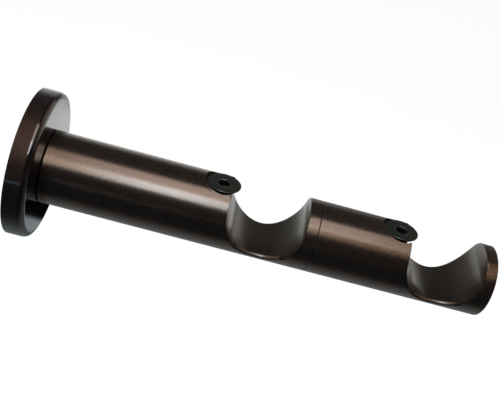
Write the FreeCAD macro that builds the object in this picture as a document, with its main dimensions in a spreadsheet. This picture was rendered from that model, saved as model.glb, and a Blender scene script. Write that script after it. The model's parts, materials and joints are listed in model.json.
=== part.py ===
import FreeCAD, Part
import math
import os
import Sketcher

# Double curtain pole bracket, in millimetres.
# X runs from the wall to the tip, Y along the poles, Z up.
# The origin is the centre of the wall plate's back face, on the wall.
#
# A steel plate is screwed to the wall and carries a turned stub. The rosette
# covers the plate, the arm slides over the stub and a set screw from below
# holds it. The arm ends in a turned tongue that carries the extension, held
# by a second set screw. Arm and extension each have a round saddle for a pole
# and, beside it, a countersunk screw whose head reaches over the saddle.

Vector = FreeCAD.Vector

# Driving dimensions: name, size, what it is.
SIZES = [
    ("bar_dia", 25.0, "round bar of the arm and the extension"),
    ("arm_reach", 99.0, "wall to the joint between arm and extension"),
    ("extension_length", 62.0, "joint to the tip"),
    ("foot_chamfer", 0.4, "edge of the arm where it meets the rosette"),
    ("joint_chamfer", 0.2, "edges on both sides of the joint"),
    ("tip_radius", 0.5, "rounded edge of the tip"),
    ("saddle_radius", 13.2, "round floor of a saddle"),
    ("saddle_rise", 6.6, "saddle centre above the bar's axis"),
    ("saddle_from_end", 17.2, "saddle centre back from its bar's end"),
    ("saddle_edge", 0.6, "rounded edges of a saddle"),
    ("clamp_from_saddle", 16.6, "clamp screw to saddle centre"),
    ("clamp_drop", 1.2, "screw face below the bar's crown"),
    ("clamp_dia", 6.0, "thread of a clamp screw"),
    ("clamp_head_dia", 11.7, "head of a clamp screw"),
    ("clamp_rim", 0.35, "straight rim of the head"),
    ("clamp_length", 12.0, "whole clamp screw, face to point"),
    ("clamp_hex", 4.0, "key size of a clamp screw"),
    ("clamp_hex_depth", 2.4, "depth of its socket"),
    ("clamp_turn_inner", 10.0, "turn of the inner screw, degrees"),
    ("clamp_turn_outer", 35.0, "turn of the outer screw, degrees"),
    ("pocket_dia", 13.2, "round pocket around a screw head"),
    ("pocket_depth", 5.1, "pocket floor below the bar's crown"),
    ("clamp_hole_depth", 17.0, "tapped hole below the bar's crown"),
    ("rosette_dia", 50.0, "cover disc"),
    ("rosette_depth", 7.0, "cover disc, wall to face"),
    ("rosette_edge", 2.0, "rounded front edge of the cover disc"),
    ("rosette_rim", 3.0, "wall of the rim"),
    ("rosette_face", 2.5, "thickness of the face"),
    ("rosette_inner_radius", 0.8, "inside corner behind the face"),
    ("plate_thickness", 3.0, "wall plate"),
    ("plate_gap", 0.5, "plate edge to rosette rim"),
    ("plate_chamfer", 0.4, "front edge of the plate"),
    ("wall_hole_inset", 6.5, "wall screw hole in from the plate's edge"),
    ("wall_hole_dia", 5.0, "wall screw hole"),
    ("wall_head_dia", 9.0, "countersink of a wall screw hole"),
    ("wall_hole_count", 3, "wall screw holes"),
    ("stub_dia", 14.0, "stub that carries the arm"),
    ("stub_length", 19.0, "stub in front of the rosette's face"),
    ("stub_flange_dia", 20.0, "flange between plate and rosette"),
    ("stub_chamfer", 0.8, "nose of the stub"),
    ("stub_gap", 0.1, "stub to the arm's bore, on the radius"),
    ("stub_end_gap", 1.0, "stub's nose to the bottom of the bore"),
    ("rosette_hole_gap", 0.2, "stub to the rosette's hole, on the radius"),
    ("stub_screw_dia", 5.0, "thread of the screw behind the plate"),
    ("stub_screw_head_dia", 9.4, "its head"),
    ("stub_screw_rim", 0.3, "straight rim of its head"),
    ("stub_screw_length", 12.0, "whole screw"),
    ("stub_screw_sink", 0.2, "its face below the plate's back"),
    ("stub_screw_hex", 3.0, "its key size"),
    ("stub_screw_hex_depth", 1.6, "depth of its socket"),
    ("stub_screw_gap", 0.2, "screw to the plate's hole, on the radius"),
    ("stub_hole_depth", 11.0, "tapped hole in the stub"),
    ("tongue_dia", 10.0, "turned tongue at the arm's end"),
    ("tongue_length", 12.0, "tongue past the joint"),
    ("tongue_chamfer", 0.6, "nose of the tongue"),
    ("tongue_gap", 0.1, "tongue to the extension's bore, on the radius"),
    ("tongue_end_gap", 1.0, "tongue's nose to the bottom of the bore"),
    ("lock_dia", 5.0, "thread of a set screw"),
    ("lock_point_dia", 3.5, "flat point of a set screw"),
    ("lock_hex", 2.5, "key size of a set screw"),
    ("lock_hex_depth", 2.2, "depth of its socket"),
    ("lock_sink", 0.3, "set screw below the bar's surface"),
    ("lock_chamfer", 0.3, "outer end of a set screw"),
    ("arm_lock_from_foot", 10.0, "arm's set screw in front of the rosette"),
    ("extension_lock_from_joint", 6.5, "extension's set screw past the joint"),
    ("groove_width", 5.4, "groove that a set screw grips"),
    ("groove_depth", 0.8, "depth of that groove"),
    ("thread_gap", 0.05, "screw to its tapped hole, on the radius"),
    ("socket_mouth", 0.1, "lead-in of a hexagon socket outside its corners"),
]

# Depth of a drill's 118 degree point, for each millimetre of its radius.
DRILL_POINT = 0.6
# How far a cut runs out past the surface that it opens.
RUN_OUT = 1.0


class Size:
    """A number together with the sheet formula that gives it."""

    def __init__(self, number, formula):
        self.number = float(number)
        self.formula = formula

    def joined(self, other, sign, number):
        return Size(number, "(%s %s %s)" % (self.formula, sign, as_size(other).formula))

    def __add__(self, other):
        return self.joined(other, "+", self.number + as_size(other).number)

    def __sub__(self, other):
        return self.joined(other, "-", self.number - as_size(other).number)

    def __mul__(self, other):
        return self.joined(other, "*", self.number * as_size(other).number)

    def __truediv__(self, other):
        return self.joined(other, "/", self.number / as_size(other).number)

    def __neg__(self):
        return Size(-self.number, "(0 - %s)" % self.formula)


def as_size(value):
    """Plain numbers join formulas as they are."""
    if isinstance(value, Size):
        return value
    return Size(value, repr(value))


doc = FreeCAD.newDocument("pole_bracket")
sheet = doc.addObject("Spreadsheet::Sheet", "sizes")
dim = {}
for row, (name, number, note) in enumerate(SIZES, start=1):
    sheet.set("A%d" % row, note)
    sheet.set("B%d" % row, repr(number))
    sheet.setAlias("B%d" % row, name)
    dim[name] = Size(number, "sizes." + name)
doc.recompute()

# Radii and stations along the arm that several pieces share.
bar_r = dim["bar_dia"] / 2
tip_x = dim["arm_reach"] + dim["extension_length"]
stub_r = dim["stub_dia"] / 2
tongue_r = dim["tongue_dia"] / 2
flange_x = dim["plate_thickness"]
face_back_x = dim["rosette_depth"] - dim["rosette_face"]
stub_end_x = dim["rosette_depth"] + dim["stub_length"]
tongue_end_x = dim["arm_reach"] + dim["tongue_length"]
cavity_r = dim["rosette_dia"] / 2 - dim["rosette_rim"]
plate_r = cavity_r - dim["plate_gap"]
lock_hole_r = dim["lock_dia"] / 2 + dim["thread_gap"]
arm_lock_x = dim["rosette_depth"] + dim["arm_lock_from_foot"]
extension_lock_x = dim["arm_reach"] + dim["extension_lock_from_joint"]
inner_saddle_x = dim["arm_reach"] - dim["saddle_from_end"]
outer_saddle_x = tip_x - dim["saddle_from_end"]
inner_clamp_x = inner_saddle_x - dim["clamp_from_saddle"]
outer_clamp_x = outer_saddle_x - dim["clamp_from_saddle"]


def bind(thing, prop, size):
    """Tie one property to the sheet."""
    thing.setExpression(prop, as_size(size).formula)


def origin_part(body, role):
    """A plane or an axis of the body's own origin."""
    for feature in body.Origin.OriginFeatures:
        if feature.Role == role:
            return feature
    raise ValueError(role)


def new_body(label):
    body = doc.addObject("PartDesign::Body", label)
    body.Label = label
    return body


def new_sketch(body, name, role, along=0, up=0):
    """A sketch on an origin plane, its own origin shifted in that plane."""
    sketch = body.newObject("Sketcher::SketchObject", name)
    sketch.AttachmentSupport = [(origin_part(body, role), "")]
    sketch.MapMode = "FlatFace"
    shift = Vector(as_size(along).number, as_size(up).number, 0)
    sketch.AttachmentOffset = FreeCAD.Placement(shift, FreeCAD.Rotation())
    bind(sketch, "AttachmentOffset.Base.x", along)
    bind(sketch, "AttachmentOffset.Base.y", up)
    return sketch


def constrain(sketch, size, *where):
    """One constraint with its value tied to the sheet."""
    index = sketch.addConstraint(Sketcher.Constraint(*where, as_size(size).number))
    bind(sketch, "Constraints[%d]" % index, size)


def draw_outline(sketch, corners):
    """A closed outline of straight lines, each corner placed from the sheet."""
    spots = [Vector(as_size(x).number, as_size(y).number, 0) for x, y in corners]
    count = len(corners)
    for i in range(count):
        sketch.addGeometry(Part.LineSegment(spots[i], spots[(i + 1) % count]), False)
    for i in range(count):
        sketch.addConstraint(Sketcher.Constraint("Coincident", i, 2, (i + 1) % count, 1))
    for i, (x, y) in enumerate(corners):
        constrain(sketch, x, "DistanceX", -1, 1, i, 1)
        constrain(sketch, y, "DistanceY", -1, 1, i, 1)


def turn_solid(body, name, corners):
    """A piece turned about X: corners are (x, radius)."""
    sketch = new_sketch(body, name + "_section", "XZ_Plane")
    draw_outline(sketch, corners)
    solid = body.newObject("PartDesign::Revolution", name)
    solid.Profile = sketch
    solid.ReferenceAxis = (sketch, ["H_Axis"])
    solid.Angle = 360
    doc.recompute()
    return solid


def turn_cut(body, name, corners, axis, along=0, up=0):
    """A round cut about a line of the XZ plane, H_Axis along X or V_Axis along Z."""
    before = body.Shape.Volume
    sketch = new_sketch(body, name + "_section", "XZ_Plane", along, up)
    draw_outline(sketch, corners)
    cut = body.newObject("PartDesign::Groove", name)
    cut.Profile = sketch
    cut.ReferenceAxis = (sketch, [axis])
    cut.Angle = 360
    doc.recompute()
    if body.Shape.Volume > before - 0.001:
        raise RuntimeError(name + " cuts nothing")
    return cut


def edges_where(feature, test):
    """Names of the edges whose neighbouring faces pass the test."""
    names = []
    for number, edge in enumerate(feature.Shape.Edges, start=1):
        if test(edge, feature.Shape.ancestorsOfType(edge, Part.Face)):
            names.append("Edge%d" % number)
    return names


def circle_at(x, radius):
    """Test for a full round edge about X at a station."""
    place = as_size(x).number
    size = as_size(radius).number

    def test(edge, faces):
        curve = edge.Curve
        if not hasattr(curve, "Radius") or not hasattr(curve, "Center"):
            return False
        at_place = abs(curve.Center.x - place) < 0.001
        return at_place and abs(curve.Radius - size) < 0.001

    return test


def round_edges(body, name, base, edges, radius):
    fillet = body.newObject("PartDesign::Fillet", name)
    fillet.Base = (base, edges)
    fillet.Radius = radius.number
    bind(fillet, "Radius", radius)
    doc.recompute()
    return fillet


def hex_socket(body, name, key_size, depth, up, opens_down=False):
    """A hexagon socket sunk into the piece from the level given by up.

    It has a drilled cone below its floor and a shallow lead-in at its mouth.
    """
    inward = 1 if opens_down else -1
    floor_z = up + depth * inward
    drill_r = key_size * 0.48
    mouth_r = key_size / math.sqrt(3) + dim["socket_mouth"]
    before = body.Shape.Volume
    socket = body.newObject("PartDesign::SubtractivePrism", name)
    socket.AttachmentSupport = [(origin_part(body, "XY_Plane"), "")]
    socket.MapMode = "FlatFace"
    socket.Polygon = 6
    bind(socket, "Circumradius", key_size / math.sqrt(3))
    bind(socket, "Height", depth)
    bind(socket, "AttachmentOffset.Base.z", up if opens_down else up - depth)
    doc.recompute()
    if body.Shape.Volume > before - 0.001:
        raise RuntimeError(name + " cuts nothing")
    turn_cut(body, name + "_drill_point", [
        (0, floor_z),
        (drill_r, floor_z),
        (0, floor_z + drill_r * DRILL_POINT * inward),
    ], "V_Axis")
    turn_cut(body, name + "_mouth", [
        (0, up),
        (mouth_r, up),
        (0, up + mouth_r * DRILL_POINT * inward),
    ], "V_Axis")


def countersunk_screw(label, thread, head, rim, length, key_size, key_depth):
    """A countersunk socket screw, face at the origin and point down."""
    body = new_body(label)
    shank_r = thread / 2
    head_r = head / 2
    cone_end = rim + head_r - shank_r
    point = shank_r / 4
    sketch = new_sketch(body, label + "_section", "XZ_Plane")
    draw_outline(sketch, [
        (0, 0),
        (head_r, 0),
        (head_r, -rim),
        (shank_r, -cone_end),
        (shank_r, point - length),
        (shank_r - point, -length),
        (0, -length),
    ])
    solid = body.newObject("PartDesign::Revolution", label + "_form")
    solid.Profile = sketch
    solid.ReferenceAxis = (sketch, ["V_Axis"])
    solid.Angle = 360
    doc.recompute()
    hex_socket(body, label + "_socket", key_size, key_depth, as_size(0))
    return body


def set_screw(label, length):
    """A set screw, flat point at the origin and socket end down."""
    body = new_body(label)
    radius = dim["lock_dia"] / 2
    point_r = dim["lock_point_dia"] / 2
    edge = dim["lock_chamfer"]
    sketch = new_sketch(body, label + "_section", "XZ_Plane")
    draw_outline(sketch, [
        (0, 0),
        (point_r, 0),
        (radius, point_r - radius),
        (radius, edge - length),
        (radius - edge, -length),
        (0, -length),
    ])
    solid = body.newObject("PartDesign::Revolution", label + "_form")
    solid.Profile = sketch
    solid.ReferenceAxis = (sketch, ["V_Axis"])
    solid.Angle = 360
    doc.recompute()
    hex_socket(body, label + "_socket", dim["lock_hex"], dim["lock_hex_depth"], -length, True)
    return body


def place(body, x, z, turn=None):
    """Move a piece to its station, turned about the upright if asked."""
    bind(body, "Placement.Base.x", x)
    bind(body, "Placement.Base.z", z)
    if turn is not None:
        body.Placement.Rotation = FreeCAD.Rotation(Vector(0, 0, 1), turn.number)
        bind(body, "Placement.Rotation.Angle", turn)
    doc.recompute()


def cut_saddle(body, base, centre_x, name):
    """The U-shaped saddle across the bar, then its rounded edges.

    The floor is half a circle and the walls go straight up from its ends. The
    edges run round the bar, so the corner they round is square at the top and
    sharpens to under 60 degrees at the floor.
    """
    radius = dim["saddle_radius"]
    wall_top = bar_r + RUN_OUT - dim["saddle_rise"]
    sketch = new_sketch(body, name + "_section", "XZ_Plane", centre_x, dim["saddle_rise"])
    r = radius.number
    top = wall_top.number
    circle = Part.Circle(Vector(0, 0, 0), Vector(0, 0, 1), r)
    floor = sketch.addGeometry(Part.ArcOfCircle(circle, math.pi, 2 * math.pi), False)
    front = sketch.addGeometry(Part.LineSegment(Vector(r, 0, 0), Vector(r, top, 0)), False)
    mouth = sketch.addGeometry(Part.LineSegment(Vector(r, top, 0), Vector(-r, top, 0)), False)
    back = sketch.addGeometry(Part.LineSegment(Vector(-r, top, 0), Vector(-r, 0, 0)), False)
    for rule in (
        ("Tangent", floor, 2, front, 1),
        ("Coincident", front, 2, mouth, 1),
        ("Coincident", mouth, 2, back, 1),
        ("Tangent", back, 2, floor, 1),
        ("Coincident", floor, 3, -1, 1),
        ("Vertical", front),
        ("Vertical", back),
        ("Horizontal", mouth),
    ):
        sketch.addConstraint(Sketcher.Constraint(*rule))
    constrain(sketch, radius, "Radius", floor)
    constrain(sketch, wall_top, "DistanceY", -1, 1, front, 2)
    before = body.Shape.Volume
    saddle = body.newObject("PartDesign::Pocket", name)
    saddle.Profile = sketch
    saddle.Type = "ThroughAll"
    saddle.Midplane = True
    doc.recompute()
    if body.Shape.Volume > before - 1:
        raise RuntimeError(name + " cuts nothing")

    centre = as_size(centre_x).number

    def on_bar(face):
        surface = face.Surface
        if not isinstance(surface, Part.Cylinder):
            return False
        along_bar = abs(surface.Axis.x) > 0.999
        return along_bar and abs(surface.Radius - bar_r.number) < 0.001

    def on_saddle(face):
        surface = face.Surface
        if isinstance(surface, Part.Cylinder):
            return abs(surface.Axis.y) > 0.999 and abs(surface.Radius - r) < 0.001
        if not isinstance(surface, Part.Plane) or abs(surface.Axis.x) < 0.999:
            return False
        return abs(abs(face.CenterOfMass.x - centre) - r) < 0.001

    def saddle_rim(edge, faces):
        return any(on_bar(f) for f in faces) and any(on_saddle(f) for f in faces)

    edges = edges_where(saddle, saddle_rim)
    return round_edges(body, name + "_edges", saddle, edges, dim["saddle_edge"])


def cut_clamp_hole(body, x, name):
    """Round pocket for the screw head, open to the saddle, and its tapped hole."""
    pocket_r = dim["pocket_dia"] / 2
    tap_r = dim["clamp_dia"] / 2 + dim["thread_gap"]
    floor_z = bar_r - dim["pocket_depth"]
    bottom_z = bar_r - dim["clamp_hole_depth"]
    turn_cut(body, name, [
        (0, bar_r + RUN_OUT),
        (pocket_r, bar_r + RUN_OUT),
        (pocket_r, floor_z),
        (tap_r, floor_z),
        (tap_r, bottom_z),
        (0, bottom_z - tap_r * DRILL_POINT),
    ], "V_Axis", along=x)


def cut_lock_hole(body, x, name):
    """Tapped hole from the bore out through the bar's underside."""
    turn_cut(body, name, [
        (0, 0),
        (lock_hole_r, 0),
        (lock_hole_r, -bar_r - RUN_OUT),
        (0, -bar_r - RUN_OUT),
    ], "V_Axis", along=x)


def groove_corners(x, radius):
    """The four corners of a lock groove turned into a stub or tongue."""
    half = dim["groove_width"] / 2
    floor = radius - dim["groove_depth"]
    return [(x - half, radius), (x - half, floor), (x + half, floor), (x + half, radius)]


def make_wall_plate():
    body = new_body("wall_plate")
    thick = dim["plate_thickness"]
    edge = dim["plate_chamfer"]
    hole_r = dim["stub_screw_dia"] / 2 + dim["stub_screw_gap"]
    # The screw's cone and the plate's seat are one 90 degree cone, whose
    # radius and depth add up to the same sum all along it.
    cone_sum = dim["stub_screw_head_dia"] / 2 + dim["stub_screw_rim"] + dim["stub_screw_sink"]
    seat_r = dim["stub_screw_head_dia"] / 2 + dim["stub_screw_gap"]
    turn_solid(body, "wall_plate_form", [
        (0, seat_r),
        (0, plate_r),
        (thick - edge, plate_r),
        (thick, plate_r - edge),
        (thick, hole_r),
        (cone_sum - hole_r, hole_r),
        (cone_sum - seat_r, seat_r),
    ])
    wall_r = dim["wall_hole_dia"] / 2
    head_r = dim["wall_head_dia"] / 2
    hole = turn_cut(body, "wall_screw_hole", [
        (0, 0),
        (0, wall_r),
        (thick + wall_r - head_r, wall_r),
        (thick, head_r),
        (thick, 0),
    ], "H_Axis", up=plate_r - dim["wall_hole_inset"])
    ring = body.newObject("PartDesign::PolarPattern", "wall_screw_holes")
    ring.Originals = [hole]
    ring.Axis = (origin_part(body, "X_Axis"), [""])
    ring.Angle = 360
    bind(ring, "Occurrences", dim["wall_hole_count"])
    body.Tip = ring
    doc.recompute()
    return body


def make_arm_spigot():
    body = new_body("arm_spigot")
    tap_r = dim["stub_screw_dia"] / 2 + dim["thread_gap"]
    flange_r = dim["stub_flange_dia"] / 2
    nose = dim["stub_chamfer"]
    hole_end = flange_x + dim["stub_hole_depth"]
    corners = [
        (flange_x, tap_r),
        (flange_x, flange_r),
        (face_back_x, flange_r),
        (face_back_x, stub_r),
    ]
    corners += groove_corners(arm_lock_x, stub_r)
    corners += [
        (stub_end_x - nose, stub_r),
        (stub_end_x, stub_r - nose),
        (stub_end_x, 0),
        (hole_end + tap_r * DRILL_POINT, 0),
        (hole_end, tap_r),
    ]
    turn_solid(body, "arm_spigot_form", corners)
    return body


def make_spigot_screw():
    body = countersunk_screw("spigot_screw", dim["stub_screw_dia"], dim["stub_screw_head_dia"],
                             dim["stub_screw_rim"], dim["stub_screw_length"],
                             dim["stub_screw_hex"], dim["stub_screw_hex_depth"])
    # Laid along X, with its face just under the plate's back.
    body.Placement = FreeCAD.Placement(Vector(0, 0, 0), FreeCAD.Rotation(Vector(0, 1, 0), -90))
    bind(body, "Placement.Base.x", dim["stub_screw_sink"])
    doc.recompute()
    return body


def make_rosette():
    body = new_body("rosette")
    outer_r = dim["rosette_dia"] / 2
    hole_r = stub_r + dim["rosette_hole_gap"]
    form = turn_solid(body, "rosette_form", [
        (0, cavity_r),
        (0, outer_r),
        (dim["rosette_depth"], outer_r),
        (dim["rosette_depth"], hole_r),
        (face_back_x, hole_r),
        (face_back_x, cavity_r),
    ])
    front = edges_where(form, circle_at(dim["rosette_depth"], outer_r))
    rounded = round_edges(body, "rosette_front_edge", form, front, dim["rosette_edge"])
    inside = edges_where(rounded, circle_at(face_back_x, cavity_r))
    round_edges(body, "rosette_inner_corner", rounded, inside, dim["rosette_inner_radius"])
    return body


def make_arm():
    body = new_body("arm")
    foot_x = dim["rosette_depth"]
    end_x = dim["arm_reach"]
    foot_edge = dim["foot_chamfer"]
    end_edge = dim["joint_chamfer"]
    nose = dim["tongue_chamfer"]
    bore_r = stub_r + dim["stub_gap"]
    bore_end = stub_end_x + dim["stub_end_gap"]
    corners = [
        (foot_x, bore_r),
        (foot_x, bar_r - foot_edge),
        (foot_x + foot_edge, bar_r),
        (end_x - end_edge, bar_r),
        (end_x, bar_r - end_edge),
        (end_x, tongue_r),
    ]
    corners += groove_corners(extension_lock_x, tongue_r)
    corners += [
        (tongue_end_x - nose, tongue_r),
        (tongue_end_x, tongue_r - nose),
        (tongue_end_x, 0),
        (bore_end + bore_r * DRILL_POINT, 0),
        (bore_end, bore_r),
    ]
    bar = turn_solid(body, "arm_bar", corners)
    cut_saddle(body, bar, inner_saddle_x, "inner_saddle")
    cut_clamp_hole(body, inner_clamp_x, "inner_clamp_hole")
    cut_lock_hole(body, arm_lock_x, "arm_lock_hole")
    return body


def make_extension():
    body = new_body("extension")
    start_x = dim["arm_reach"]
    edge = dim["joint_chamfer"]
    bore_r = tongue_r + dim["tongue_gap"]
    bore_end = tongue_end_x + dim["tongue_end_gap"]
    bar = turn_solid(body, "extension_bar", [
        (start_x, bore_r),
        (start_x, bar_r - edge),
        (start_x + edge, bar_r),
        (tip_x, bar_r),
        (tip_x, 0),
        (bore_end + bore_r * DRILL_POINT, 0),
        (bore_end, bore_r),
    ])
    tip = edges_where(bar, circle_at(tip_x, bar_r))
    rounded = round_edges(body, "extension_tip", bar, tip, dim["tip_radius"])
    cut_saddle(body, rounded, outer_saddle_x, "outer_saddle")
    cut_clamp_hole(body, outer_clamp_x, "outer_clamp_hole")
    cut_lock_hole(body, extension_lock_x, "extension_lock_hole")
    return body


def make_lock_screw(label, x, carrier_r):
    """A set screw from the groove's floor to just under the bar's surface."""
    point = carrier_r - dim["groove_depth"]
    body = set_screw(label, bar_r - dim["lock_sink"] - point)
    place(body, x, -point)
    return body


def make_clamp_screws():
    """Both clamp screws as one group, each at its own turn."""
    face_z = bar_r - dim["clamp_drop"]
    screws = []
    for side, x in (("inner", inner_clamp_x), ("outer", outer_clamp_x)):
        screw = countersunk_screw(side + "_clamp_screw", dim["clamp_dia"],
                                  dim["clamp_head_dia"], dim["clamp_rim"],
                                  dim["clamp_length"], dim["clamp_hex"],
                                  dim["clamp_hex_depth"])
        place(screw, x, face_z, dim["clamp_turn_" + side])
        screws.append(screw)
    group = doc.addObject("Part::Compound", "pole_clamp_screws")
    group.Label = "pole_clamp_screws"
    group.Links = screws
    doc.recompute()
    return group


def check(things):
    """Stop at anything that failed to build."""
    for thing in doc.Objects:
        if "Invalid" in thing.State or "Error" in thing.State:
            raise RuntimeError("%s failed: %s" % (thing.Label, thing.State))
    for thing in things:
        if thing.Shape.isNull() or not thing.Shape.isValid():
            raise RuntimeError(thing.Label + " has no valid shape")


pieces = [
    make_wall_plate(),
    make_arm_spigot(),
    make_spigot_screw(),
    make_rosette(),
    make_arm(),
    make_lock_screw("arm_lock_screw", arm_lock_x, stub_r),
    make_extension(),
    make_lock_screw("extension_lock_screw", extension_lock_x, tongue_r),
    make_clamp_screws(),
]
doc.recompute()
check(pieces)

os.makedirs("parts", exist_ok=True)
for piece in pieces:
    piece.Shape.exportStep(os.path.join("parts", piece.Label + ".step"))
    box = piece.Shape.BoundBox
    print("%-22s %9.1f mm3  x %.2f to %.2f  z %.2f to %.2f  solids %d" % (
        piece.Label, piece.Shape.Volume, box.XMin, box.XMax, box.ZMin, box.ZMax,
        len(piece.Shape.Solids)))
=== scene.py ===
import json
import math
import bmesh
import bpy
from mathutils import Matrix, Vector


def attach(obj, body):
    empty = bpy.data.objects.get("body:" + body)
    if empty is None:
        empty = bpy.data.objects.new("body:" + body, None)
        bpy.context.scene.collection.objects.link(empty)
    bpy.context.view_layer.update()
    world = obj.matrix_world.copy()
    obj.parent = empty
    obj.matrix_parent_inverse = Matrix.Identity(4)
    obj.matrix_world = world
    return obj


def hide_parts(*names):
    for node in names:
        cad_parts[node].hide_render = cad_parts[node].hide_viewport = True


# Double curtain pole bracket: brushed dark bronze bars and rosette, black socket screws.
# X runs from the wall to the tip, Z is up, all in metres.

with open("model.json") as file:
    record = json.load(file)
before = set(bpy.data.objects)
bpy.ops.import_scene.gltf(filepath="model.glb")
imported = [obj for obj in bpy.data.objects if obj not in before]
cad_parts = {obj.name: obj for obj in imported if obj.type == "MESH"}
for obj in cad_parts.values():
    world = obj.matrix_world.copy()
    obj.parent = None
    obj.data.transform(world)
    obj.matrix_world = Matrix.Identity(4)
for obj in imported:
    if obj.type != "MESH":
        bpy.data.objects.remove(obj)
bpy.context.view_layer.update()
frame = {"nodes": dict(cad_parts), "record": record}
nodes = frame["nodes"]
mm = 0.001
white = (1.0, 1.0, 1.0, 1.0)
noiseSpan = (0.3, 0.7)                             # where nearly all of a noise lies
smooth = {"interpolation_type": "SMOOTHSTEP"}      # how a Map Range goes from low to high
colourMix = {"data_type": "RGBA", "give": 2}       # what a Mix node blends, and its output for that
directionMix = {"data_type": "VECTOR", "give": 1}
print("frame loaded:", len(nodes), "nodes")


def linearColour(code):
    # sRGB hex to the linear colour that shaders want
    parts = [int(code[i:i + 2], 16) / 255 for i in (1, 3, 5)]
    parts = [c / 12.92 if c <= 0.04045 else ((c + 0.055) / 1.055) ** 2.4 for c in parts]
    return (*parts, 1.0)


def addNode(tree, kind, inputs=(), give=0, **settings):
    # a node with its settings, values and links, of which one output is given back, or all;
    # inputs go by order or by name, and a socket as value becomes a link
    node = tree.nodes.new("ShaderNode" + kind)
    for name, value in settings.items():
        setattr(node, name, value)
    for name, value in inputs.items() if isinstance(inputs, dict) else enumerate(inputs):
        if isinstance(value, bpy.types.NodeSocket):
            tree.links.new(value, node.inputs[name])
        else:
            node.inputs[name].default_value = value
    return node.outputs if give is None else node.outputs[give]


def newMaterial(name):
    material = bpy.data.materials.new(name)
    material.use_nodes = True
    material.node_tree.nodes.clear()
    return material, material.node_tree


# Camera: the photograph's place, turned about its own axis as the photo is.
cameraSetup = {
    "lookAt": (0.075055, 0.0, 0.007344),
    "distance": 0.24762,
    "azimuth": -4.487,
    "elevation": 31.414,
    "roll": 17.226,
    "focalPixels": 736.26,
    "pixelsWide": 500,
    "sensor": 36,            # in millimetres
}


def addCamera(setup):
    azimuth, elevation, roll = (math.radians(setup[k]) for k in ("azimuth", "elevation", "roll"))
    back = Vector((math.sin(azimuth) * math.cos(elevation),
                   -math.cos(azimuth) * math.cos(elevation), math.sin(elevation)))
    right = (-back).cross(Vector((0, 0, 1))).normalized()
    up = right.cross(-back)
    turnedRight = right * math.cos(roll) + up * math.sin(roll)
    turnedUp = up * math.cos(roll) - right * math.sin(roll)
    place = Vector(setup["lookAt"]) + back * setup["distance"]
    bpy.ops.object.camera_add(location=place)
    camera = bpy.context.object
    camera.name = "photoCamera"
    camera.rotation_euler = Matrix((turnedRight, turnedUp, back)).transposed().to_euler()
    camera.data.sensor_width = setup["sensor"]
    camera.data.lens = setup["focalPixels"] / setup["pixelsWide"] * setup["sensor"]
    camera.data.clip_start = 0.01
    bpy.context.scene.camera = camera


addCamera(cameraSetup)
bpy.context.scene.view_settings.view_transform = "Standard"
print("camera placed")

# Studio: white paper below, and soft panels over the camera's side.
panels = {
    "distance": 0.55,
    "lamps": [
        # name, place along X, elevation, width along X, height, radiance, colour
        ("upperPanel", 0.10, 71, 0.37, 0.36, 2.3, (1.0, 1.0, 0.97)),
        ("lowerPanel", 0.0, 46, 0.18, 0.14, 2.1, (1.0, 1.0, 0.97)),
        ("brightPanel", 0.035, 51, 0.14, 0.22, 5.8, (0.76, 1.0, 1.12)),
    ],
}

# The paper as the metal sees it is painted light and shade in its glow, for all rays but the
# camera's: dim in front, a painted black card beyond, then full light.
# Each line is a place from and to, and the level at those two ends where it isn't 0 and 1.
paper = {
    "level": -0.12,
    "size": 4.0,
    "near": (-0.09, -0.01, 0.04, 0.22),        # over y, as the next three
    "nearDip": (0.04, 0.1, 0.0, -0.02),
    "nearRise": (0.109, 0.12, 0.0, 0.38),
    "paintedCardStarts": (0.131, 0.1255),
    "paintedCardEnds": (0.21, 0.235),
    "paintedCardTurns": (0.075, 0.14, 0.0, 0.07),     # how far its end moves in, over x
    "peak": (0.3, 0.25, 0.0, 1.05),            # the brightest painted glow, just beyond the painted card
    "peakTurns": (0.07, 0.2, 0.0, 0.2),
    "peakStarts": (0.0, 0.04),
    "farFades": (-0.1, 0.31, 1.0, 0.06),       # toward the tip
    "farNarrows": (-0.6, -0.1, 0.15, 1.0),     # over x / y
    "tip": (0.16, 0.26, 0.0, 1.35),            # painted light past the tip, seen by the saddles' walls alone
    "tipStarts": (0.26, 0.33),
    "tipEnds": (0.6, 0.45),
    "behind": (-0.24, -0.38, 0.0, 0.8),        # painted light on the wall's side, seen by the back alone
    "behindEnds": (0.12, 0.0),
    "coolTint": (0.7, 0.98, 1.3, 1.0),
    "nearTint": (0.86, 1.0, 1.04, 1.0),
    "farTint": (0.96, 1.0, 0.98, 1.0),
    "nearTinted": (-0.14, -0.06),
    "farTinted": (0.1, 0.2),
    "shown": 0.92,                             # to the camera it is plain white,
    "shaded": 0.3,                             # with this share of it left for the shadow
}


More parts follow.
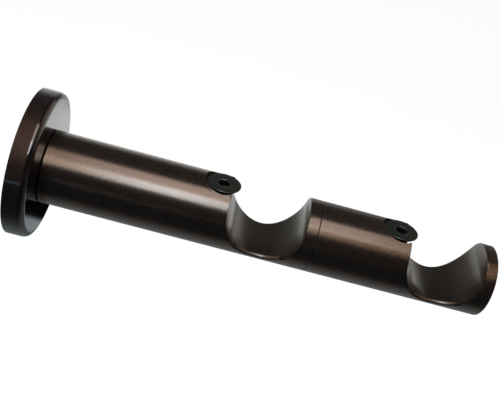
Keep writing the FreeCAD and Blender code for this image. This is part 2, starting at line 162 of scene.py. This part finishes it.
def addFloor(setup):
    bpy.ops.object.select_all(action="DESELECT")
    bpy.ops.mesh.primitive_plane_add(size=setup["size"], location=(0, 0, setup["level"]))
    floor = bpy.context.object
    floor.name = "paperFloor"
    bpy.ops.object.transform_apply(location=True, rotation=True, scale=True)
    material, tree = newMaterial("whitePaperPaintedGlow")
    toCamera = addNode(tree, "LightPath", give="Is Camera Ray")
    place = addNode(tree, "TexCoord", give="Object")
    x, y = addNode(tree, "SeparateXYZ", (place,), None)[:2]
    front = addNode(tree, "Math", (
        addNode(tree, "MapRange", (y, *setup["near"]), **smooth),
        addNode(tree, "MapRange", (y, *setup["nearDip"]), **smooth)), operation="ADD")
    rise = addNode(tree, "MapRange", (y, *setup["nearRise"]), **smooth)
    front = addNode(tree, "Math", (front, rise), operation="ADD")
    before = addNode(tree, "MapRange", (y, *setup["paintedCardStarts"]), **smooth)
    front = addNode(tree, "Math", (front, before), operation="MULTIPLY")
    outer = addNode(tree, "Math", (
        y, addNode(tree, "MapRange", (x, *setup["peakTurns"]))), operation="SUBTRACT")
    peak = addNode(tree, "Math", (
        addNode(tree, "MapRange", (outer, *setup["peak"]), **smooth),
        addNode(tree, "MapRange", (x, *setup["peakStarts"]), **smooth)), operation="MULTIPLY")
    paintedCard = addNode(tree, "Math", (
        y, addNode(tree, "MapRange", (x, *setup["paintedCardTurns"]))), operation="ADD")
    far = addNode(tree, "MapRange", (paintedCard, *setup["paintedCardEnds"]), **smooth)
    aspect = addNode(tree, "Math", (x, y), operation="DIVIDE")
    for share in (addNode(tree, "Math", (peak, 1.0), operation="ADD"),
                  addNode(tree, "MapRange", (x, *setup["farFades"])),
                  addNode(tree, "MapRange", (aspect, *setup["farNarrows"]), **smooth)):
        far = addNode(tree, "Math", (far, share), operation="MULTIPLY")
    tip = addNode(tree, "MapRange", (x, *setup["tip"]), **smooth)
    for ends in ("tipStarts", "tipEnds"):
        share = addNode(tree, "MapRange", (y, *setup[ends]), **smooth)
        tip = addNode(tree, "Math", (tip, share), operation="MULTIPLY")
    behind = addNode(tree, "Math", (
        addNode(tree, "MapRange", (x, *setup["behind"]), **smooth),
        addNode(tree, "MapRange", (y, *setup["behindEnds"]), **smooth)), operation="MULTIPLY")
    level = addNode(tree, "Math", (front, far), operation="ADD")
    for other in (tip, behind):
        level = addNode(tree, "Math", (level, other), operation="MAXIMUM")
    level = addNode(tree, "Mix", {0: toCamera, "A": level, "B": setup["shown"]})
    tinted = addNode(tree, "MapRange", (y, *setup["nearTinted"]), **smooth)
    tint = addNode(tree, "Mix", {
        0: tinted, 6: setup["coolTint"], 7: setup["nearTint"]}, **colourMix)
    tinted = addNode(tree, "MapRange", (y, *setup["farTinted"]), **smooth)
    tint = addNode(tree, "Mix", {0: tinted, 6: tint, 7: setup["farTint"]}, **colourMix)
    tint = addNode(tree, "Mix", {0: toCamera, 6: tint, 7: white}, **colourMix)
    # the glow is the painted light and shade above, seen by all rays but the camera's; to the
    # camera the paper is plain white
    glow = addNode(tree, "Emission", {"Color": tint, "Strength": level})
    grey = addNode(tree, "Mix", {0: toCamera, "A": 0.0, "B": setup["shaded"]})
    matt = addNode(tree, "BsdfDiffuse", {"Color": grey})
    addNode(tree, "OutputMaterial", (addNode(tree, "AddShader", (matt, glow)),), None)
    floor.data.materials.append(material)


def addPanels(setup):
    for name, along, elevation, width, height, radiance, tint in setup["lamps"]:
        angle = math.radians(elevation)
        toward = Vector((0, -math.cos(angle), math.sin(angle)))
        place = Vector((along, 0, 0)) + toward * setup["distance"]
        bpy.ops.object.light_add(type="AREA", location=place)
        lamp = bpy.context.object
        lamp.name = name
        lamp.data.shape = "RECTANGLE"
        lamp.data.size = width
        lamp.data.size_y = height
        lamp.data.energy = radiance * math.pi * width * height
        lamp.data.color = tint
        lamp.rotation_euler = toward.to_track_quat("Z", "Y").to_euler()


# The room as the metal sees it: dark and bluish on the camera's side, white behind the object
# and at both sides. The lines are as the paper's, over parts of a direction of length 1.
room = {
    "back": (0.88, 1.0, 0.0, 0.55),            # over y
    "backFades": (-0.22, 0.42, 1.0, 0.03),     # over x, toward the tip, then toward the wall
    "backNarrows": (-0.6, -0.2, 0.25, 1.0),
    "right": (0.42, 0.56, 0.0, 0.95),
    "rightSinks": (0.35, 0.05, 0.3, 1.0),      # over z
    "left": (-0.3, -0.6, 0.0, 0.1),
    "sidesStart": (0.1, 0.4),
    "wall": (-0.72, -0.95, 0.0, 0.7),
    "front": "#403f42",
    "rear": "#4c5052",
    "rearStarts": (-0.6, 0.1),
    "lit": (1.0, 1.0, 0.97, 1.0),
}


def addWorld(setup):
    world = bpy.data.worlds.new("studioRoom")
    world.use_nodes = True
    tree = world.node_tree
    tree.nodes.clear()
    bpy.context.scene.world = world
    place = addNode(tree, "TexCoord", give="Generated")
    x, y, z = addNode(tree, "SeparateXYZ", (place,), None)
    back = addNode(tree, "Math", (
        addNode(tree, "MapRange", (y, *setup["back"]), **smooth),
        addNode(tree, "MapRange", (x, *setup["backFades"]))), operation="MULTIPLY")
    narrows = addNode(tree, "MapRange", (x, *setup["backNarrows"]), **smooth)
    back = addNode(tree, "Math", (back, narrows), operation="MULTIPLY")
    right = addNode(tree, "Math", (
        addNode(tree, "MapRange", (x, *setup["right"]), **smooth),
        addNode(tree, "MapRange", (z, *setup["rightSinks"]), **smooth)), operation="MULTIPLY")
    left = addNode(tree, "MapRange", (x, *setup["left"]), **smooth)
    sides = addNode(tree, "Math", (right, left), operation="ADD")
    start = addNode(tree, "MapRange", (y, *setup["sidesStart"]), **smooth)
    sides = addNode(tree, "Math", (sides, start), operation="MULTIPLY")
    wall = addNode(tree, "MapRange", (x, *setup["wall"]), **smooth)
    level = addNode(tree, "Math", (sides, wall), operation="MAXIMUM")
    level = addNode(tree, "Math", (level, back), operation="MAXIMUM")
    rear = addNode(tree, "MapRange", (y, *setup["rearStarts"]), **smooth)
    dark = addNode(tree, "Mix", {
        0: rear, 6: linearColour(setup["front"]), 7: linearColour(setup["rear"])}, **colourMix)
    seen = addNode(tree, "Mix", {0: level, 6: dark, 7: setup["lit"]}, **colourMix)
    toCamera = addNode(tree, "LightPath", give="Is Camera Ray")
    seen = addNode(tree, "Mix", {0: toCamera, 6: seen, 7: white}, **colourMix)
    addNode(tree, "OutputWorld", (addNode(tree, "Background", (seen,)),), None)


addFloor(paper)
addPanels(panels)
addWorld(room)
print("studio lit")


# Arm and extension: steel plated dark bronze, turned and brushed round the bar, lacquered.
# The plating gives brown in the metal, the clear lacquer on it a neutral shine.
barFinish = {
    "bronze": "#5b3f2c",
    "bronzePale": "#6f513c",
    "roughness": 0.34,
    "relief": 0.02 * mm,
    "brushing": 0.85,           # stretches highlights along the bar
    "lacquerRoughness": 0.22,
    "lacquerIor": 1.65,
    "grain": 0.55 * mm,         # the brushed grain, drawn coarser than life so that it shows
    "grainStretch": 1.4,        # and a little longer round the bar than along it
    "cloud": 16.667 * mm,
    "cloudShare": 0.5,
    "pale": (0.5, 1.0),         # the sum of grain and clouds, from the bronze to the paler one
    "unevenness": 0.05,         # of the roughness
    "bored": "#564637",         # saddles and pockets, bored and left matt under the same lacquer
    "boredPale": "#6c5a49",
    "boredRoughness": 0.52,
    "boredLacquer": 0.8,        # less of it stays on the bored walls
    "boredStarts": (11.8 * mm, 11.95 * mm),    # from the axis; the saddles' edges lie outside
    "skinStarts": (12.3 * mm, 12.42 * mm),     # and the bar's skin outside those
    "edgeRoughness": 0.52,      # the rounded edges, tumbled
    "toolMark": 0.35 * mm,
    "toolMarkLength": 16.5 * mm,
    "barRadius": 12.5 * mm,
    "saddle": 0.0818,           # the inner saddle's centre, the step to the outer one, its level
    "saddleStep": 0.062,
    "saddleLevel": 6.6 * mm,
    "saddleRadius": 13.2 * mm,
    "outerStarts": 0.111,
    "rim": (1.4 * mm, 1.28 * mm),              # width of the bevel round the saddles
    "rimReach": 1.35,           # it goes less far down the walls than along the skin
    "rimShare": (0.34, 0.5),    # how far its flat leans to the skin, from the saddle to the skin
    "rimCrisp": (0.45, 0.55),   # and where it turns over at once, beside the pocket
    "rimLow": (0.7, 0.9),       # below the saddles it goes right across,
    "rimAside": (6.7 * mm, 7.2 * mm),          # and higher up it stops beside the pocket
    "lipLean": (-2 * mm, -10 * mm, 0.0, -0.12),    # over y, and how far the normal leans
    "saddleTangent": (0.0, 1.0, 0.05),
    "endFaces": (0.8, 0.7),     # how far a face looks along the bar, from an end to the skin
    "joint": 0.099,             # dark lines where the two bars meet and at the foot: dust and painted shade in the creases
    "jointLine": (0.13 * mm, 0.03 * mm),
    "foot": (7.2 * mm, 7.04 * mm),
    "dustAndShade": "#1a1512",
}


def bevelRims(tree, setup, x, y, z, skinward, radius, normal):
    # the saddles' rims are bevelled more than rolled: the normal holds still across them,
    # between the bar's own and the saddle's, so that one short gleam shows in place of a line
    outer = addNode(tree, "Math", (x, setup["outerStarts"]), operation="GREATER_THAN")
    centre = addNode(tree, "Math", (outer, setup["saddleStep"], setup["saddle"]),
                     operation="MULTIPLY_ADD")
    across = addNode(tree, "Math", (centre, x), operation="SUBTRACT")
    level = addNode(tree, "Math", (z, setup["saddleLevel"]), operation="MINIMUM")
    down = addNode(tree, "Math", (setup["saddleLevel"], level), operation="SUBTRACT")
    inward = addNode(tree, "CombineXYZ", {"X": across, "Z": down})
    reach = addNode(tree, "VectorMath", (inward,), "Value", operation="LENGTH")
    inward = addNode(tree, "VectorMath", (inward,), operation="NORMALIZE")
    outward = addNode(tree, "VectorMath", (skinward,), operation="NORMALIZE")
    # how near a point is to the saddle and to the skin
    fromSaddle = addNode(tree, "Math", (reach, setup["saddleRadius"]), operation="SUBTRACT")
    fromSaddle = addNode(tree, "Math", (fromSaddle, 0.0), operation="MAXIMUM")
    fromSkin = addNode(tree, "Math", (setup["barRadius"], radius), operation="SUBTRACT")
    fromSkin = addNode(tree, "Math", (fromSkin, 0.0), operation="MAXIMUM")
    width = addNode(tree, "Math", (fromSaddle, fromSkin), operation="ADD")
    share = addNode(tree, "Math", (fromSaddle, width), operation="DIVIDE")
    crisp = addNode(tree, "MapRange", (share, *setup["rimCrisp"]), **smooth)
    flat = addNode(tree, "MapRange", (share, 0.0, 1.0, *setup["rimShare"]))
    steep = addNode(tree, "Math", (down, reach), operation="DIVIDE")
    low = addNode(tree, "MapRange", (steep, *setup["rimLow"]), **smooth)
    share = addNode(tree, "Mix", {0: low, "A": crisp, "B": flat})
    # the saddles' front lips are buffed over, so their walls lean out there
    lean = addNode(tree, "CombineXYZ", {
        "Y": addNode(tree, "MapRange", (y, *setup["lipLean"]), **smooth)})
    inward = addNode(tree, "VectorMath", (inward, lean), operation="ADD")
    rim = addNode(tree, "Mix", {0: share, 4: inward, 5: outward}, **directionMix)
    rim = addNode(tree, "VectorMath", (rim,), operation="NORMALIZE")
    bored = addNode(tree, "MapRange", (radius, *reversed(setup["boredStarts"])), **smooth)
    wall = addNode(tree, "VectorMath", (lean, bored), operation="MULTIPLY")
    wall = addNode(tree, "VectorMath", (normal, wall), operation="ADD")
    wall = addNode(tree, "VectorMath", (wall,), operation="NORMALIZE")
    near = addNode(tree, "Math", (fromSkin, setup["rimReach"], fromSaddle),
                   operation="MULTIPLY_ADD")
    near = addNode(tree, "MapRange", (near, *setup["rim"]), **smooth)
    aside = addNode(tree, "Math", (y,), operation="ABSOLUTE")
    aside = addNode(tree, "MapRange", (aside, *setup["rimAside"]), **smooth)
    aside = addNode(tree, "Math", (low, aside), operation="MAXIMUM")
    near = addNode(tree, "Math", (near, aside), operation="MULTIPLY")
    return addNode(tree, "Mix", {0: near, 4: wall, 5: rim}, **directionMix)


def makeBar(setup):
    material, tree = newMaterial("bronzePlatedBrushed")
    place = addNode(tree, "TexCoord", give="Object")
    x, y, z = addNode(tree, "SeparateXYZ", (place,), None)
    skinward = addNode(tree, "VectorMath", (place, (0, 1, 1)), operation="MULTIPLY")
    radius = addNode(tree, "VectorMath", (skinward,), "Value", operation="LENGTH")
    normal = addNode(tree, "NewGeometry", give="Normal")
    normal = bevelRims(tree, setup, x, y, z, skinward, radius, normal)
    outside = addNode(tree, "MapRange", (radius, *setup["boredStarts"]), **smooth)
    skin = addNode(tree, "MapRange", (radius, *setup["skinStarts"]), **smooth)
    # brushed grain on the skin, tool marks round the saddles, and clouds over both
    fine, fineRound = 1 / setup["grain"], 1 / (setup["grain"] * setup["grainStretch"])
    marks, marksLong = 1 / setup["toolMark"], 1 / setup["toolMarkLength"]
    grain = addNode(tree, "VectorMath", (place, (fine, fineRound, fineRound)), operation="MULTIPLY")
    grain = addNode(tree, "TexNoise", {"Vector": grain, "Scale": 1.0, "Detail": 2.0})
    toolMarks = (marksLong, marks, marksLong)
    toolMarks = addNode(tree, "VectorMath", (place, toolMarks), operation="MULTIPLY")
    toolMarks = addNode(tree, "TexNoise", {"Vector": toolMarks, "Scale": 1.0, "Detail": 2.0})
    clouds = addNode(tree, "TexNoise", {
        "Vector": place, "Scale": 1 / setup["cloud"], "Detail": 1.0})
    texture = addNode(tree, "Mix", {0: outside, "A": toolMarks, "B": grain})
    pale = addNode(tree, "Math", (clouds, setup["cloudShare"], texture), operation="MULTIPLY_ADD")
    pale = addNode(tree, "MapRange", (pale, *setup["pale"]), **smooth)
    bronze = addNode(tree, "Mix", {0: pale, 6: linearColour(setup["bronze"]),
                                   7: linearColour(setup["bronzePale"])}, **colourMix)
    pale = addNode(tree, "MapRange", (toolMarks, *noiseSpan), **smooth)
    bored = addNode(tree, "Mix", {0: pale, 6: linearColour(setup["bored"]),
                                  7: linearColour(setup["boredPale"])}, **colourMix)
    colour = addNode(tree, "Mix", {0: outside, 6: bored, 7: bronze}, **colourMix)
    # dust and shade in the fine rings at the joint and at the foot
    ring = addNode(tree, "Math", (x, setup["joint"]), operation="SUBTRACT")
    ring = addNode(tree, "Math", (ring,), operation="ABSOLUTE")
    ring = addNode(tree, "Math", (
        addNode(tree, "MapRange", (ring, *setup["jointLine"]), **smooth),
        addNode(tree, "MapRange", (x, *setup["foot"]), **smooth)), operation="MAXIMUM")
    colour = addNode(tree, "Mix", {0: ring, 6: colour, 7: linearColour(setup["dustAndShade"])}, **colourMix)
    rough = addNode(tree, "Mix", {0: skin, "A": setup["edgeRoughness"], "B": setup["roughness"]})
    rough = addNode(tree, "Mix", {0: outside, "A": setup["boredRoughness"], "B": rough})
    most = setup["unevenness"]
    uneven = addNode(tree, "MapRange", (texture, *noiseSpan, -most, most), **smooth)
    rough = addNode(tree, "Math", (rough, uneven), operation="ADD")
    bump = addNode(tree, "Bump", {
        "Height": texture, "Strength": 1.0, "Distance": setup["relief"], "Normal": normal})
    # highlights stretch along the bar's axis on its skin, and round the saddles inside them
    facing = addNode(tree, "SeparateXYZ", (normal,), "X")
    facing = addNode(tree, "Math", (facing,), operation="ABSOLUTE")
    sideways = addNode(tree, "MapRange", (facing, *setup["endFaces"]), **smooth)
    turned = addNode(tree, "Math", (skin, sideways), operation="MULTIPLY")
    tangent = addNode(tree, "VectorMath", (normal, setup["saddleTangent"]),
                      operation="CROSS_PRODUCT")
    tangent = addNode(tree, "Mix", {0: turned, 4: tangent, 5: (1.0, 0.0, 0.0)}, **directionMix)
    lacquer = addNode(tree, "Mix", {0: outside, "A": setup["boredLacquer"], "B": 1.0})
    lacquer = addNode(tree, "Math", (lacquer, ring), operation="SUBTRACT")
    shader = addNode(tree, "BsdfPrincipled", {
        "Base Color": colour, "Metallic": 1.0, "Roughness": rough, "Normal": bump,
        "Anisotropic": setup["brushing"], "Tangent": tangent,
        "Coat Weight": lacquer, "Coat Roughness": setup["lacquerRoughness"],
        "Coat IOR": setup["lacquerIor"], "Coat Normal": bump})
    addNode(tree, "OutputMaterial", (shader,), None)
    return material


# Rosette: the same bronze, its rim brushed dull, its rounded edge and face under smooth lacquer.
rosetteFinish = {
    "bronze": "#49352a",
    "bronzeDark": "#402d24",
    "lacquer": "#1d1815",
    "rimRoughness": 0.42,
    "faceRoughness": 0.09,
    "lacquerRoughness": 0.1,
    "lacquerIor": 1.6,
    "edge": (4.9 * mm, 5.5 * mm),   # from here on the lacquer is smooth
    "face": (6.2 * mm, 6.9 * mm),   # and from here it hides the metal
    "edgeLean": 1.6,                # the rounded edge is fuller toward the face than a true arc
    "grain": 0.3 * mm,
    "grainStretch": 3,
    "relief": 0.003 * mm,
    "unevenness": 0.03,
    "cloud": 11.111 * mm,
    "dark": (0.35, 0.7),        # the clouds, from the bronze to the darker one
}


def makeRosette(setup):
    material, tree = newMaterial("bronzePlatedLacquered")
    place = addNode(tree, "TexCoord", give="Object")
    x = addNode(tree, "SeparateXYZ", (place,), "X")
    edge = addNode(tree, "MapRange", (x, *setup["edge"]), **smooth)
    face = addNode(tree, "MapRange", (x, *setup["face"]), **smooth)
    normal = addNode(tree, "NewGeometry", give="Normal")
    lean = (setup["edgeLean"], 1.0, 1.0)
    normal = addNode(tree, "VectorMath", (normal, lean), operation="MULTIPLY")
    normal = addNode(tree, "VectorMath", (normal,), operation="NORMALIZE")
    fine, fineRound = 1 / setup["grain"], 1 / (setup["grain"] * setup["grainStretch"])
    grain = addNode(tree, "VectorMath", (place, (fine, fineRound, fineRound)), operation="MULTIPLY")
    grain = addNode(tree, "TexNoise", {"Vector": grain, "Scale": 1.0, "Detail": 2.0})
    clouds = addNode(tree, "TexNoise", {
        "Vector": place, "Scale": 1 / setup["cloud"], "Detail": 2.0})
    dark = addNode(tree, "MapRange", (clouds, *setup["dark"]), **smooth)
    colour = addNode(tree, "Mix", {0: dark, 6: linearColour(setup["bronze"]),
                                   7: linearColour(setup["bronzeDark"])}, **colourMix)
    colour = addNode(tree, "Mix", {
        0: face, 6: colour, 7: linearColour(setup["lacquer"])}, **colourMix)
    bare = addNode(tree, "Math", (1.0, face), operation="SUBTRACT")
    brushed = addNode(tree, "Math", (1.0, edge), operation="SUBTRACT")
    most = setup["unevenness"]
    uneven = addNode(tree, "MapRange", (grain, *noiseSpan, -most, most), **smooth)
    rough = addNode(tree, "Mix", {0: edge, "A": setup["rimRoughness"], "B": setup["faceRoughness"]})
    rough = addNode(tree, "Math", (uneven, brushed, rough), operation="MULTIPLY_ADD")
    height = addNode(tree, "Math", (grain, brushed), operation="MULTIPLY")
    bump = addNode(tree, "Bump", {
        "Height": height, "Strength": 1.0, "Distance": setup["relief"], "Normal": normal})
    shader = addNode(tree, "BsdfPrincipled", {
        "Base Color": colour, "Metallic": bare, "Roughness": rough, "Normal": bump,
        "Coat Weight": bare, "Coat Roughness": setup["lacquerRoughness"],
        "Coat IOR": setup["lacquerIor"]})
    addNode(tree, "OutputMaterial", (shader,), None)
    return material


# Screws: blackened steel, dull and faintly green, with the grey of bare steel at worn spots, and
# painted shade in the sockets and below the heads' faces.
screwFinish = {
    "black": "#33342c",
    "worn": "#4d4e46",
    "paintedShade": "#1f201b",          # painted shade in the sockets and below the heads' faces
    "paintedShadeStarts": (11.0 * mm, 10.6 * mm),      # above the bar's axis
    "edge": "#82817b",          # the key and handling have rubbed the edges of the heads bright
    "edgeStarts": (11.18 * mm, 11.204 * mm),
    "edgeEnds": (11.298 * mm, 11.288 * mm),
    "edgeRubbed": (0.35, 0.6, 0.5, 1.0),       # more at some places than at others
    "roughness": (0.4, 0.52),
    "edgeRoughness": 0.32,
    "metal": (0.6, 1.0),        # under the oxide, and bare at the edges
    "grain": 0.35 * mm,
    "wornSpots": (0.45, 0.7),
    "relief": 0.006 * mm,
}


def makeScrew(setup):
    material, tree = newMaterial("blackOxideSteel")
    place = addNode(tree, "TexCoord", give="Object")
    z = addNode(tree, "SeparateXYZ", (place,), "Z")
    grain = addNode(tree, "TexNoise", {"Vector": place, "Scale": 1 / setup["grain"], "Detail": 3.0})
    worn = addNode(tree, "MapRange", (grain, *setup["wornSpots"]), **smooth)
    colour = addNode(tree, "Mix", {
        0: worn, 6: linearColour(setup["black"]), 7: linearColour(setup["worn"])}, **colourMix)
    # painted shade: darker from just below the heads' faces down, the sockets included
    paintedShade = addNode(tree, "MapRange", (z, *setup["paintedShadeStarts"]), **smooth)
    colour = addNode(tree, "Mix", {0: paintedShade, 6: colour, 7: linearColour(setup["paintedShade"])}, **colourMix)
    edge = addNode(tree, "Math", (
        addNode(tree, "MapRange", (z, *setup["edgeStarts"]), **smooth),
        addNode(tree, "MapRange", (z, *setup["edgeEnds"]), **smooth)), operation="MULTIPLY")
    rubbed = addNode(tree, "MapRange", (grain, *setup["edgeRubbed"]), **smooth)
    edge = addNode(tree, "Math", (edge, rubbed), operation="MULTIPLY")
    colour = addNode(tree, "Mix", {0: edge, 6: colour, 7: linearColour(setup["edge"])}, **colourMix)
    rough = addNode(tree, "MapRange", (grain, *noiseSpan, *setup["roughness"]), **smooth)
    rough = addNode(tree, "Mix", {0: edge, "A": rough, "B": setup["edgeRoughness"]})
    metal = addNode(tree, "MapRange", (edge, 0.0, 1.0, *setup["metal"]), **smooth)
    bump = addNode(tree, "Bump", {"Height": grain, "Strength": 1.0, "Distance": setup["relief"]})
    shader = addNode(tree, "BsdfPrincipled", {
        "Base Color": colour, "Metallic": metal, "Roughness": rough, "Normal": bump})
    addNode(tree, "OutputMaterial", (shader,), None)
    return material


# Plate, stub and its screw: bright zinc plating, faintly blue and cloudy.
zincFinish = {
    "zinc": "#b4b8be",
    "zincWarm": "#c2bfae",
    "roughness": (0.29, 0.42),
    "cloud": 4 * mm,
    "warmClouds": (0.35, 0.65),
    "grain": 0.4 * mm,
    "relief": 0.005 * mm,
}


def makeZinc(setup):
    material, tree = newMaterial("zincPlatedSteel")
    place = addNode(tree, "TexCoord", give="Object")
    clouds = addNode(tree, "TexNoise", {
        "Vector": place, "Scale": 1 / setup["cloud"], "Detail": 4.0})
    grain = addNode(tree, "TexNoise", {"Vector": place, "Scale": 1 / setup["grain"], "Detail": 1.0})
    warm = addNode(tree, "MapRange", (clouds, *setup["warmClouds"]), **smooth)
    colour = addNode(tree, "Mix", {
        0: warm, 6: linearColour(setup["zinc"]), 7: linearColour(setup["zincWarm"])}, **colourMix)
    rough = addNode(tree, "MapRange", (clouds, *noiseSpan, *setup["roughness"]), **smooth)
    bump = addNode(tree, "Bump", {"Height": grain, "Strength": 1.0, "Distance": setup["relief"]})
    shader = addNode(tree, "BsdfPrincipled", {
        "Base Color": colour, "Metallic": 1.0, "Roughness": rough, "Normal": bump})
    addNode(tree, "OutputMaterial", (shader,), None)
    return material


finishes = {
    "bronze_bar": makeBar(barFinish),
    "bronze_rosette": makeRosette(rosetteFinish),
    "black_screw": makeScrew(screwFinish),
    "zinc_plate": makeZinc(zincFinish),
}
for part in frame["record"]["subparts"]:
    nodes[part["node"]].data.materials[0] = finishes[part["material_slot"]]
print("finishes on")

# Clamp screws: M6 countersunk socket screws, remade with their thread and rolled edges.
clampScrew = {
    "name": ("innerClampScrew", "outerClampScrew"),
    "along": (0.0652, 0.1272),
    "turn": (10, 35),            # how far each is screwed in, in degrees
    "face": 11.3 * mm,           # above the bar's axis
    "head": 5.85 * mm,           # radius
    "rim": 0.35 * mm,
    "neck": 0.2 * mm,
    "thread": 3.0 * mm,          # radius over the thread
    "root": 2.42 * mm,
    "pitch": 1.0 * mm,
    "turns": 8,
    "ridgeStarts": 0.75 * mm,    # above the screw's end
    "ridgeFlat": 0.74,
    "point": 0.5 * mm,
    "length": 12 * mm,
    "key": 4.0 * mm,             # across the flats of its socket
    "keyDepth": 2.4 * mm,
    "drillPoint": 1.15 * mm,
    "drillTip": 0.02,            # share of the key's width that is left at the drill's point
    "edge": 0.12 * mm,           # rounding of the head's rim
    "mouth": 0.26 * mm,          # and of the socket's mouth
    "smoothBelow": 35,           # degrees between two faces
    "sides": 96,                 # of the head
    "steps": 40,                 # of the thread, each turn
    "bevelSteps": 3,
}
touch = 0.01 * mm                # heights closer than this are the same


def selectOnly(mesh, kind, test):
    # picks the faces or edges, in edit mode, that pass the test of themselves and their middle
    edited = bmesh.from_edit_mesh(mesh)
    for element in (*edited.faces, *edited.edges, *edited.verts):
        element.select_set(False)
    for element in (edited.faces if kind == "FACE" else edited.edges):
        middle = sum((v.co for v in element.verts), Vector()) / len(element.verts)
        if test(element, middle):
            element.select_set(True)
    edited.select_flush_mode()
    bmesh.update_edit_mesh(mesh)


def facesDown(face, middle):
    return face.normal.z < -0.9


def extrudeDown(depth, shrink, level):
    # pushes the selected face down the screw's axis and draws it in there
    bpy.ops.mesh.extrude_region_move(TRANSFORM_OT_translate={"value": (0, 0, -depth)})
    bpy.ops.transform.resize(value=(shrink, shrink, 1), center_override=(0, 0, level - depth))


def makeSocketCutter(setup):
    # a hexagon key's shape with the drill point below it
    above, depth = 1 * mm, setup["keyDepth"]
    bpy.ops.mesh.primitive_cylinder_add(
        vertices=6, radius=setup["key"] / math.sqrt(3), depth=depth + above,
        location=(0, 0, setup["face"] + (above - depth) / 2), rotation=(0, 0, math.radians(-30)))
    cutter = bpy.context.object
    bpy.ops.object.transform_apply(location=True, rotation=True, scale=True)
    bpy.ops.object.mode_set(mode="EDIT")
    bpy.ops.mesh.select_mode(type="FACE")
    selectOnly(cutter.data, "FACE", facesDown)
    extrudeDown(setup["drillPoint"], setup["drillTip"], setup["face"] - depth)
    bpy.ops.object.mode_set(mode="OBJECT")
    return cutter


def makeScrewThread(setup):
    # one ridge wound round the shank: a flattened square on its corner, up one pitch each turn
    start = setup["face"] - setup["length"] + setup["ridgeStarts"]
    bpy.ops.mesh.primitive_circle_add(
        vertices=4, radius=setup["thread"] - setup["root"], fill_type="NOTHING",
        location=(setup["root"], 0, 0), rotation=(math.radians(90), 0, 0))
    ridge = bpy.context.object
    ridge.scale = (1, setup["ridgeFlat"], 1)
    bpy.ops.object.transform_apply(location=True, rotation=True, scale=True)
    winding = ridge.modifiers.new("winding", "SCREW")
    winding.axis = "Z"
    winding.angle = math.radians(360)
    winding.screw_offset = setup["pitch"]
    winding.iterations = setup["turns"]
    winding.steps = winding.render_steps = setup["steps"]
    winding.use_merge_vertices = False
    bpy.ops.object.modifier_apply(modifier="winding")
    bpy.ops.object.mode_set(mode="EDIT")
    bpy.ops.mesh.select_all(action="SELECT")
    bpy.ops.mesh.fill_holes(sides=4)
    bpy.ops.mesh.select_all(action="SELECT")
    bpy.ops.mesh.normals_make_consistent(inside=False)
    bpy.ops.transform.translate(value=(0, 0, start))
    bpy.ops.object.mode_set(mode="OBJECT")
    return ridge


def makeClampScrew(setup):
    # on the upright through the origin; placeClampScrews copies it to the saddles
    face, head, rim, key = setup["face"], setup["head"], setup["rim"], setup["key"]
    bpy.ops.object.select_all(action="DESELECT")
    bpy.ops.mesh.primitive_cylinder_add(
        vertices=setup["sides"], radius=head, depth=rim, location=(0, 0, face - rim / 2))
    screw = bpy.context.object
    bpy.ops.object.transform_apply(location=True, rotation=True, scale=True)
    # head's cone, neck, threaded shank and its flat point, each drawn out of the face above it
    cone = head - setup["thread"]
    shank = setup["length"] - rim - cone - setup["neck"] - setup["point"]
    bpy.ops.object.mode_set(mode="EDIT")
    bpy.ops.mesh.select_mode(type="FACE")
    selectOnly(screw.data, "FACE", facesDown)
    level, above = face - rim, head
    for depth, radius in ((cone, setup["thread"]), (setup["neck"], setup["root"]),
                          (shank, setup["root"]), (setup["point"], setup["root"] - setup["point"])):
        extrudeDown(depth, radius / above, level)
        level, above = level - depth, radius
    bpy.ops.object.mode_set(mode="OBJECT")
    # the socket, cut with the key's shape
    cutter = makeSocketCutter(setup)
    bpy.ops.object.select_all(action="DESELECT")
    bpy.context.view_layer.objects.active = screw
    screw.select_set(True)
    socket = screw.modifiers.new("socket", "BOOLEAN")
    socket.object, socket.operation, socket.solver = cutter, "DIFFERENCE", "EXACT"
    bpy.ops.object.modifier_apply(modifier="socket")
    bpy.data.objects.remove(cutter)

    # the head's rim and the socket's mouth are rolled and worn round
    def levelEdge(edge, middle, inKey):
        ends = [vertex.co.z for vertex in edge.verts]
        return (abs(ends[0] - ends[1]) < touch
                and (abs(middle.x) + abs(middle.y) < key) == inKey)

    def rimEdge(edge, middle):
        return levelEdge(edge, middle, False) and (
            middle.z > face - touch or abs(middle.z - face + rim) < touch)

    def mouthEdge(edge, middle):
        return levelEdge(edge, middle, True) and middle.z > face - touch

    bpy.ops.object.mode_set(mode="EDIT")
    bpy.ops.mesh.select_mode(type="EDGE")
    for test, offset in ((rimEdge, setup["edge"]), (mouthEdge, setup["mouth"])):
        selectOnly(screw.data, "EDGE", test)
        bpy.ops.mesh.bevel(offset=offset, segments=setup["bevelSteps"], profile=0.5, affect="EDGES")
    bpy.ops.object.mode_set(mode="OBJECT")
    ridge = makeScrewThread(setup)
    bpy.ops.object.select_all(action="DESELECT")
    ridge.select_set(True)
    screw.select_set(True)
    bpy.context.view_layer.objects.active = screw
    bpy.ops.object.join()
    bpy.ops.object.shade_smooth_by_angle(angle=math.radians(setup["smoothBelow"]))
    return screw


def placeClampScrews(setup, screw):
    for name, along, turn in zip(setup["name"], setup["along"], setup["turn"]):
        bpy.ops.object.select_all(action="DESELECT")
        bpy.context.view_layer.objects.active = screw
        screw.select_set(True)
        bpy.ops.object.duplicate(linked=False)
        placed = bpy.context.object
        placed.location = (along, 0, 0)
        placed.rotation_euler = (0, 0, math.radians(turn))
        bpy.ops.object.transform_apply(location=True, rotation=True, scale=True)
        placed.name = name
        placed.data.materials.clear()
        placed.data.materials.append(finishes["black_screw"])
        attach(placed, "root")
        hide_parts("pole_clamp_screws")
    bpy.data.objects.remove(screw)


placeClampScrews(clampScrew, makeClampScrew(clampScrew))
print("clamp screws made")
